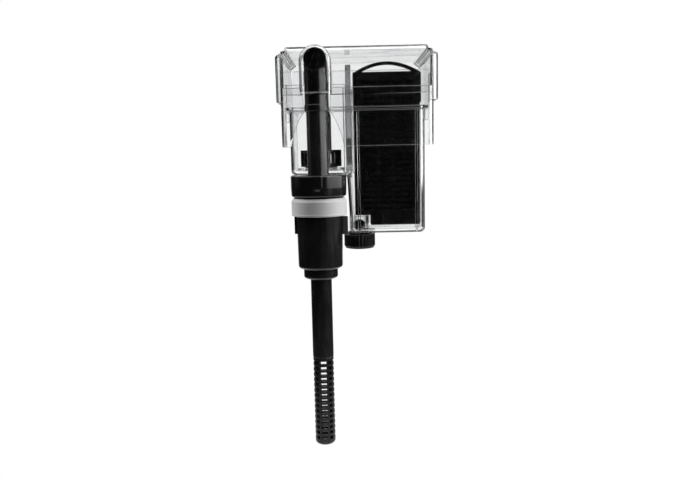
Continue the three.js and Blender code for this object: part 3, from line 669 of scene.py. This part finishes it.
def tray_shell():
    half, wall = TRAY["half"], TRAY["wall"]
    shell = tray_volume("tray", 0, TRAY["low"], TRAY["top"])
    hollow = tray_volume("hollow", wall, TRAY["low"] - 1, TRAY["top"] + 1)
    low_rear = block("low_rear", -half - 1, half + 1, BRIDGE["front"], BOX.y1 + 1, TRAY["low"] - 1, 0)
    high_front = block("high_front", -half + wall, half - wall, BOX.y0 - 1, BOX.y0 + 2.5,
                       16, TRAY["top"] + 1)
    return cut(shell, hollow, low_rear, high_front, bell_volume())


def filter_container(material):
    inner = TRAY["half"] - TRAY["wall"] / 2
    body = tank_volume("filter_box", 0, 6, TANK["corner"])
    body = cut(body, block("above", -70, 70, 0, 70, BRIDGE["top"], 10))
    plate = block("bridge", -inner, inner, BRIDGE["front"], BOX.y1 - 1, 0, BRIDGE["top"])
    stops = [block("stop", x, x + 4, BRIDGE["front"], BRIDGE["front"] + 2, -10, 1)
             for x in (1 - TRAY["half"], PIPE["x"] - 2, TRAY["half"] - 5)]
    body = join(body, tray_shell(), plate, *stops)
    body = cut(body, tank_volume("inside", WALL, 6, TANK["corner"] - 1.4))
    front = TANK["front"]
    dam = block("dam", 1 - TRAY["half"], TANK["split_top"], front, front + WALL, 1, 22)
    cradle = block("cradle", PIPE["x"] - 12, PIPE["x"] + 12, front, front + WALL, 21, 33)
    seat = rod_along_y("seat", PIPE["radius"] + 0.3, front - 1, front + WALL + 1, PIPE["x"], PIPE["z"])
    body = join(body, cut(join(dam, cradle), seat), *guide_ribs(), drain_boss(), seat_ring())
    low, high, bore = TANK["floor"] - 1, DRAIN["boss_top"] + 1, DRAIN["bore"]
    hole = turned("hole", [(0, low), (bore, low), (bore, high), (0, high)], KNOB.x, KNOB.y)
    body = frost_edges(cut(body, hole), FROST["box"])
    return finish_piece(body, material, "container", ["filter_container"])


def guide_ribs():
    front, back = TANK["front"] + WALL - 0.5, TANK["back"] - WALL + 0.5
    step, floor = TANK["step"] + WALL - 0.5, TANK["floor"] + WALL - 0.5
    behind = CASE_BACK.y1 + 0.6
    left, right = DIVIDER.x0 - 2, DIVIDER.x1 + 0.4
    spans = [(left, front, front + 2.5, step, 18), (right, front, front + 2.5, step, 18),
             (left, back - 2.5, back, step, 18), (right, back - 2.5, back, TANK["step"], 18),
             (0, front, CASE.y0 - 0.3, floor, 0), (49.6, front, CASE.y0 - 0.3, floor, 0)]
    ribs = [soften(block("rib", x, x + 1.6, y0, y1, z0, z1), 0.4, 2) for x, y0, y1, z0, z1 in spans]
    stop = block("rib", 51.6, TANK["right"] - WALL + 0.5, behind, behind + 1.6, floor, 0)
    return ribs + [soften(stop, 0.4, 2)]


def drain_boss():
    low, high, radius = TANK["floor"] + 0.5, DRAIN["boss_top"], DRAIN["boss"]
    outline = rounded([(0, low), (radius, low), (radius, high, 0.8), (0, high)])
    return turned("boss", outline, KNOB.x, KNOB.y)


def seat_ring():
    low, high = TANK["step"] + WALL - 0.5, TANK["step"] + WALL + 3.4
    outline = rounded([(19, low), (21.4, low), (21.4, high, 0.6), (19, high, 0.6)])
    return turned("seat_ring", outline, PIPE["x"], PIPE["rear"])


def chamber_divider(material):
    d = DIVIDER
    plate = prism("chamber_divider", rectangle(d.y0, d.y1, d.z0, d.z1, 1.5), "X", d.x0, d.x1)
    window = prism("window", rectangle(44, 54, -46, -22, 1.5), "X", d.x0 - 1, d.x1 + 1)
    plate = soften(cut(plate, window), 0.35, 2)
    return finish_piece(plate, material, "container", ["chamber_divider"])


# ---- lid ----
def stepped_outline(inset, bottom):
    """Front outline of the lid, with three round steps at each end."""
    half = []
    for x, z, r in LID_STEPS:
        radius = max(r - inset, 0.4)
        cx, cz = x + r - inset - radius, z - inset - radius
        for k in range(7):
            angle = math.pi / 2 * (1 - k / 6)
            half.append((cx + radius * math.cos(angle), cz + radius * math.sin(angle)))
    half.append((LID.x1 - inset, bottom))
    return half + [(-x, z) for x, z in reversed(half)]


def lid_volume(name, inset, bottom):
    top = LID_STEPS[0][1]
    front, back = LID_FRONT + inset, LID.y1 - inset
    ends = prism(name, stepped_outline(inset, bottom), "Y", front - 1, back + 1)
    plan = rectangle(LID.x0 + inset, LID.x1 - inset, front, back, LID_CORNER - inset, 10)
    edge, high = 3 - inset / 2, top - inset
    side = rounded([(front, bottom - 1), (back, bottom - 1), (back, high, edge), (front, high, edge)], 8)
    return common(ends, prism("plan", plan, "Z", bottom, top + 1), prism("side", side, "X", -70, 70))


def hood_volume(name, half, bottom, front, edge):
    """A round-topped tunnel along Y, rounded at its front end."""
    centre = HOOD["top"] - HOOD["half"]
    arch = [(PIPE["x"] + half * math.cos(math.pi * k / 32), centre + half * math.sin(math.pi * k / 32))
            for k in range(33)]
    outline = [(PIPE["x"] - half, bottom), (PIPE["x"] + half, bottom)] + arch
    return soften(prism(name, outline, "Y", front, LID_FRONT + 6), edge, 4, 60)


def lid(material):
    wall = LID_WALL
    cover = lid_volume("lid_cover", 0, LID.z0)
    trim = block("trim", LID.x0 + LID_CORNER, LID.x1 - LID_CORNER, LID_FRONT - 1, LID_FRONT + 4,
                 0, LID_SKIRT)
    hood = hood_volume("hood", HOOD["half"], LID_SKIRT, LID.y0, HOOD["edge"])
    hood = cut(hood, block("behind", -60, 0, LID_FRONT + wall / 2, LID_FRONT + 10, 0, 60))
    hollow = lid_volume("hollow", wall, LID.z0 - 1)
    space = hood_volume("space", HOOD["half"] - HOOD["wall"], 0, LID.y0 + wall, HOOD["inner_edge"])
    space = cut(space, block("behind", -60, 0, LID_FRONT + wall + 3, LID_FRONT + 10, -5, 60))
    body = frost_edges(cut(join(cut(cover, trim), hood), hollow, space), FROST["lid"])
    return finish_piece(body, material, "lid", ["lid"])


# ---- pipes ----
def elbow_pipe(material):
    x, front, rear, z, r = PIPE["x"], PIPE["front"], PIPE["rear"], PIPE["z"], PIPE["radius"]
    low, top, collar, socket = SLEEVE["low"], SLEEVE["top"], SLEEVE["collar"], SLEEVE["bore"]
    run = rod_along_y("elbow_pipe", r, ELBOW.y0, rear, x, z, PIPE["edge"])
    sleeve = turned("sleeve", rounded([
        (0, top), (socket, top), (socket, low), (collar, low, 0.4), (collar, 1.6, 0.4),
        (SLEEVE["radius"], 2.8), (SLEEVE["radius"], z), (0, z)]), x, front)
    outer, end = SPIGOT["radius"], SPIGOT["low"]
    spigot = turned("spigot", rounded([(0, end), (outer, end, 0.8), (outer, z), (0, z)]), x, rear)
    bend = turned("bend", [(r * math.sin(math.pi * k / 24), z - r * math.cos(math.pi * k / 24))
                           for k in range(25)], x, rear)
    body = join(run, sleeve, spigot, bend)
    bore = rod_along_y("bore", PIPE["bore"], ELBOW.y0 + 2, rear, x, z)
    drop = turned("drop", [(0, end - 1), (SPIGOT["bore"], end - 1), (SPIGOT["bore"], z), (0, z)], x, rear)
    mouth = turned("mouth", [(0, 20), (socket, 20), (socket, top), (PIPE["bore"], top),
                             (PIPE["bore"], z), (0, z)], x, front)
    body = cut(body, bore, drop, mouth)
    return finish_piece(body, material, "container", ["elbow_pipe"])


def inner_downpipe(material):
    d = DOWNPIPE
    tube = turned("inner_downpipe", rounded([
        (8.3, d.z0), (d.radius, d.z0, 0.5), (d.radius, d.z1 - 3.5), (8.8, d.z1, 0.3), (8.3, d.z1)]), d.x, d.y)
    return finish_piece(tube, material, "container", ["inner_downpipe"])


def inlet_diffuser(material):
    d = DIFFUSER
    neck, wall, low = DOWNPIPE.radius + 0.3, DRUM["wall"], DRUM["low"]
    foot, foot_bore, half, margin = DRUM["foot"], DRUM["foot_bore"], DRUM["slot_half"], DRUM["margin"]
    drum = turned("inlet_diffuser", rounded([
        (neck, d.z1, 0.3), (d.radius, d.z1, 0.6), (d.radius, low, 0.6), (foot, low), (foot, d.z0),
        (foot_bore, d.z0), (foot_bore, low + wall), (d.radius - wall, low + wall),
        (d.radius - wall, d.z1 - wall), (neck, d.z1 - wall)]), d.x, d.y)
    slots = []
    for k in range(DRUM["slots"]):
        slot = block("slot", d.radius - 3, d.radius + 3, -half, half, low + margin, d.z1 - margin)
        turn = Matrix.Rotation(2 * math.pi * k / DRUM["slots"], 4, "Z")
        slot.data.transform(Matrix.Translation((d.x, d.y, 0)) @ turn)
        slots.append(slot)
    return finish_piece(cut(drum, *slots), material, "container", ["inlet_diffuser"])


def riser_tube(material):
    r = RISER
    tube = turned("riser_tube", rounded([
        (6.6, r.z0), (r.radius, r.z0, 0.4), (r.radius, 8), (r.radius - 0.8, 8), (r.radius - 0.8, 10),
        (r.radius, 10), (r.radius, r.z1, 0.5), (6.6, r.z1)]), r.x, r.y)
    return finish_piece(tube, material, "riser", ["riser_tube"])


# ---- pump ----
def pump_head(material):
    x, y, top, radius = PIPE["x"], PIPE["front"], HEAD.z1, VOLUTE["radius"]
    low, neck, shoulder = VOLUTE["low"], VOLUTE["neck"], VOLUTE["neck_top"]
    body = turned("pump_head", rounded([
        (0, low), (neck, low), (neck, shoulder), (radius - 3, shoulder), (radius - 0.3, shoulder + 1.4, 1.5),
        (radius, VOLUTE["waist"], 3), (radius, top, 1.2), (0, top)]), x, y)
    nose, foot = BULGE["radius"], BULGE["low"]
    bulge = turned("bulge", rounded([
        (0, foot), (nose, foot, BULGE["edge"]), (nose, top, 0.8), (0, top)], 10), x, BULGE["y"])
    socket, seat = RISER.radius + 0.25, RISER.z0 - 0.3
    bore = turned("bore", [(0, seat), (socket, seat), (socket, top + 1), (0, top + 1)], x, y)
    room, start, end = IMPELLER_ROOM["radius"], IMPELLER_ROOM["low"], IMPELLER_ROOM["top"]
    volute = turned("volute", [(0, start), (room, start), (room, end), (0, end)], x, y)
    body = cut(join(body, bulge), bore, volute)
    return finish_piece(body, material, "pump", ["pump_head"])


def flow_ring(material):
    r = RING
    band = turned("flow_ring", rounded([
        (RING_BORE, r.z0), (r.radius - 0.5, r.z0, 0.4), (r.radius, r.z0 + 1.2, 0.5),
        (r.radius - 0.25, r.z0 + 2, 0.5), (r.radius - 0.15, r.z1 - 2.4, 1.2), (r.radius - 1.9, r.z1, 0.4),
        (RING_BORE, r.z1)], 6), r.x, r.y)
    port = rod_along_y("port", 3, r.y + 10, r.y + 30, r.x, -76)
    return finish_piece(cut(band, port), material, "flow_ring", ["flow_ring"])


def motor_housing(material):
    m, x, y, low = MOTOR, PIPE["x"], PIPE["front"], HOUSING.z0
    neck, neck_bore, top, radius = m["neck"], m["neck_bore"], m["top"], m["radius"]
    groove = [(neck, -80.4), (neck - 1.1, -80.4), (neck - 1.1, -82.1), (neck, -82.1)]
    shell = turned("motor_housing", rounded([(neck_bore, m["neck_top"]), (neck, m["neck_top"])] + groove + [
        (neck, top), (radius, top, 0.5), (m["foot"], low, 2.2), (m["eye"], low), (m["eye"], low + m["wall"]),
        (m["bore"], low + m["wall"]), (m["bore"], top - m["wall"]), (neck_bore, top - m["wall"])]), x, y)
    half = CASING_RIB["half"]
    rib = block("rib", x - radius - CASING_RIB["rise"], x - radius + 1, y - half, y + half,
                CASING_RIB["low"], CASING_RIB["top"])
    body = join(shell, soften(rib, 0.5, 3))
    return finish_piece(body, material, "pump", ["motor_housing"])


def cable_gland(material):
    g, seat = GLAND, LUG["seat"]
    lug = soften(block("cable_gland", g.x0 - 1, g.x1, g.y0, g.y1, g.z0, g.z1), 0.7, 4)
    casing = turned("seat", [(0, g.z0 - 1), (seat, g.z0 - 1), (seat, g.z1 + 1), (0, g.z1 + 1)],
                    PIPE["x"], PIPE["front"])
    grooves = [block("groove", g.x1 - 0.5, g.x1 + 1, g.y0 - 1, g.y1 + 1, z, z + LUG["groove"])
               for z in LUG["grooves"]]
    inlet = rod_along_y("inlet", LUG["inlet"], g.y0 + 2, g.y1 + 1, (g.x0 + g.x1) / 2, LUG["inlet_z"])
    body = cut(lug, casing, inlet, *grooves)
    return finish_piece(body, material, "pump", ["cable_gland"])


def intake_collar(material):
    c = COLLAR
    top, seat = HOUSING.z0 - 0.3, INTAKE.z1 + 0.3
    ring = turned("intake_collar", rounded([
        (COLLAR_BORE, c.z0), (c.radius, c.z0, 2), (c.radius, top, 0.3), (9.9, top), (9.9, c.z1), (7.4, c.z1),
        (7.4, seat), (COLLAR_BORE, seat)]), c.x, c.y)
    return finish_piece(ring, material, "pump", ["intake_collar"])


def intake_tube(material):
    t = INTAKE
    tube = turned("intake_tube", rounded([
        (TUBE_BORE, t.z0), (t.radius, t.z0, 0.3), (t.radius, t.z1, 0.3), (TUBE_BORE, t.z1)]), t.x, t.y)
    return finish_piece(tube, material, "intake", ["intake_tube"])


def strainer(material):
    s = STRAINER
    radius, bore, low, top = FUNNEL["radius"], FUNNEL["bore"], s.z0, INTAKE.z0 - 0.3
    tube = turned("strainer", rounded([
        (0, low), (radius, low, FUNNEL["edge"]), (radius, top, 0.3), (bore - 0.2, top),
        (bore - 0.2, s.z1, 0.3), (bore - 1.4, s.z1), (bore - 1.4, top - 2), (bore, top - 3),
        (bore, low + 2), (0, low + 2)]), s.x, s.y)
    rows, reach = SLOT_ROWS, SLOT_ROWS["reach"]
    slots = []
    for row in range(rows["count"]):
        z = rows["first"] - row * rows["pitch"]
        for turn, half, rear in SLOT_COLUMNS:
            slot = block("slot", -half, half, -reach, rear, z - rows["half_height"], z + rows["half_height"])
            turned_by = Matrix.Rotation(math.radians(turn), 4, "Z")
            slot.data.transform(Matrix.Translation((s.x, s.y, 0)) @ turned_by)
            slots.append(slot)
    return finish_piece(cut(tube, *slots), material, "strainer", ["strainer"])


# ---- cartridge ----
def case_outline(inset):
    return [(CASE.x0 + inset, CASE_BACK.z1 - inset), (CASE.x0 + inset, NOTCH["z"] + inset),
            (NOTCH["x"] + inset, NOTCH["z"] + inset), (NOTCH["x"] + inset, CASE.z0 + inset),
            (CASE_BACK.x1 - inset, CASE.z0 + inset), (CASE_BACK.x1 - inset, CASE_BACK.z1 - inset)]


def handle_outline():
    """The band between two flat arches over the case."""
    left, right, top = CASE.x0, CASE_BACK.x1, CASE_BACK.z1
    middle = (left + right) / 2
    inner_left, inner_right = left + HANDLE["left"], right - HANDLE["right"]
    outer = curve((left, top - 1), (middle, top + HANDLE["rise"]), (right + 1, top - 1), 24)
    inner = curve((inner_right, top), (middle, top + HANDLE["inner_rise"]), (inner_left, top), 24)
    return outer + [(inner_right, top - 1)] + inner + [(inner_left, top - 1)]


def slit_tools(y0, y1):
    tools = []
    for x0, x1 in SLITS["columns"]:
        for row in range(SLITS["rows"]):
            z = SLITS["top"] - row * SLITS["pitch"]
            if z - SLITS["height"] > NOTCH["z"] + 2 or x0 > NOTCH["x"] + 2:
                tools.append(prism("slit", rectangle(x0, x1, z - SLITS["height"], z, 0.7, 3), "Y", y0, y1))
    return tools


def cartridge_frame(material):
    wall, front, rear = CASE_WALL, CASE.y0, CASE.y1
    body = soften(prism("cartridge_frame", case_outline(0), "Y", front, rear), 0.8, 3)
    side, depth = CASE_BACK.x1, front + HANDLE["depth"]
    handle = soften(prism("handle", handle_outline(), "Y", front, depth), 0.6, 2)
    fin = soften(block("fin", side - 0.5, side + 1, front, depth, 6, CASE_BACK.z1 - 1), 0.4, 2)
    body = join(body, handle, fin)
    body = cut(body, prism("hollow", case_outline(wall), "Y", front + wall, rear + 1),
               *slit_tools(front - 1, front + wall + 1))
    return finish_piece(body, material, "cartridge", ["cartridge_frame"])


def cartridge_back(material):
    plate = prism("cartridge_back", case_outline(0), "Y", CASE_BACK.y0, CASE_BACK.y1)
    plate = cut(soften(plate, 0.5, 2), *slit_tools(CASE_BACK.y0 - 1, CASE_BACK.y1 + 1))
    return finish_piece(plate, material, "cartridge", ["cartridge_back"])


def pad(name, place, node, material, roughness):
    """A soft pad: its faces swell a little between the rims and are uneven all over."""
    grid = bmesh.new()
    bmesh.ops.create_grid(grid, x_segments=PAD["columns"], y_segments=PAD["rows"], size=1)
    flat = [(v.co.x, v.co.y) for v in grid.verts]
    grid.free()
    half = Vector(((place.x1 - place.x0) / 2, (place.y1 - place.y0) / 2, (place.z1 - place.z0) / 2))
    centre = Vector((place.x, place.y, place.z))
    vertices = []
    for side in (-1, 1):
        for u, v in flat:
            at_rim = max(abs(u), abs(v)) > 0.99
            swell = PAD["swell"] * (1 - u ** 8) * (1 - v ** 8)
            point = Vector((u * half.x, 0, v * half.z))
            rough = noise.noise(point * 0.9 + Vector((side * 7, 3, 0))) * roughness
            depth = half.y - PAD["rim"] + swell + (0 if at_rim else rough)
            tuck = 1 - PAD["tuck"] if at_rim else 1
            vertices.append(centre + Vector((u * half.x * tuck, side * depth, v * half.z * tuck)))
    body = pad_faces(name, vertices, len(flat))
    finish_piece(body, material, "cartridge", [node], 60)
    return body


def pad_faces(name, vertices, count):
    """Joins the two grids of a pad, count vertices each, into one closed body."""
    columns, rows = PAD["columns"], PAD["rows"]
    across = columns + 1
    faces = []
    for j in range(rows):
        for i in range(columns):
            a = j * across + i
            quad = (a, a + 1, a + 1 + across, a + across)
            faces.append(quad)
            faces.append(tuple(count + k for k in reversed(quad)))
    rim = list(range(across))
    rim += [j * across + columns for j in range(1, rows + 1)]
    rim += [rows * across + i for i in range(columns - 1, -1, -1)]
    rim += [j * across for j in range(rows - 1, 0, -1)]
    for a, b in zip(rim, rim[1:] + rim[:1]):
        faces.append((b, a, a + count, b + count))
    return soften(facing_out(piece_from(name, vertices, faces)), PAD["edge"], 2, 60)


# ---- drain ----
def drain_knob(material):
    """Ribbed cap with the plug that closes the drain."""
    k, stem = KNOB, STEM["radius"]
    ribs, steps, top = GRIP["ribs"], GRIP["steps"], SEAL.z0 - 0.3

    def ripple(angle, radius, z):
        grip = radius > k.radius - 1.2 and k.z0 + 1.4 < z < top - 0.8
        return -GRIP["depth"] * (0.5 - 0.5 * math.cos(ribs * angle)) ** 2 if grip else 0

    side = [(k.radius, k.z0 + 1.8 + (top - k.z0 - 2.8) * i / steps) for i in range(steps + 1)]
    foot = rounded([(0, k.z0), (k.radius - 1.1, k.z0, 0.5), (k.radius - 0.2, k.z0 + 0.9, 0.4)])
    plug = [(k.radius, top - 0.5), (k.radius - 0.5, top), (stem, top), (stem, STEM["top"] - 0.3),
            (stem - 0.3, STEM["top"]), (STEM["tip"], k.z1), (0, k.z1)]
    knob = turned("drain_knob", foot + side + plug, k.x, k.y, ribs * GRIP["sides_per_rib"], ripple)
    return finish_piece(knob, material, "drain_knob", ["drain_knob"], 40)


def soft_ring(name, node, material, body):
    """A round-sectioned rubber ring in the space of its CAD node."""
    p = Place(node)
    inner = STEM["radius"] + 0.5
    half = (p.z1 - p.z0) / 2
    ring = turned(name, rectangle(inner, p.radius, p.z0, p.z1, half * 0.9, 5), p.x, p.y)
    return finish_piece(ring, material, body, [node], 60)


# ---- hidden CAD pieces that stay as they are ----
CARRIED = {
    "rubber": ("riser_seal", "head_seal", "collar_seal", "upper_bush", "lower_bush"),
    "black_satin": ("impeller_cover", "motor_can", "rotor_well", "impeller"),
    "ceramic": ("rotor_shaft",),
    "ferrite": ("rotor_magnet",),
    "core_steel": ("stator_core",),
    "copper": ("stator_coil",),
}


def dress_carried(materials):
    for slot, nodes in CARRIED.items():
        for node in nodes:
            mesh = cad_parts[node].data
            mesh.materials.clear()
            mesh.materials.append(materials[slot])


def build(materials):
    filter_container(materials["clear_plastic"])
    lid(materials["clear_plastic"])
    chamber_divider(materials["smoke_plastic"])
    elbow_pipe(materials["black_gloss"])
    inner_downpipe(materials["black_gloss"])
    inlet_diffuser(materials["black_satin"])
    riser_tube(materials["black_gloss"])
    pump_head(materials["black_gloss"])
    flow_ring(materials["white_plastic"])
    motor_housing(materials["black_satin"])
    cable_gland(materials["rubber"])
    intake_collar(materials["black_satin"])
    intake_tube(materials["black_satin"])
    strainer(materials["black_satin"])
    cartridge_frame(materials["black_gloss"])
    cartridge_back(materials["black_gloss"])
    pad("filter_foam_pad", FOAM, "filter_foam", materials["foam"], 0.35)
    pad("carbon_felt_pad", CARBON, "carbon_pad", materials["carbon"], 0.5)
    drain_knob(materials["black_gloss"])
    soft_ring("drain_seal_ring", "drain_seal", materials["rubber"], "drain_seal")
    dress_carried(materials)


make_camera()
make_stage()
build(make_materials())
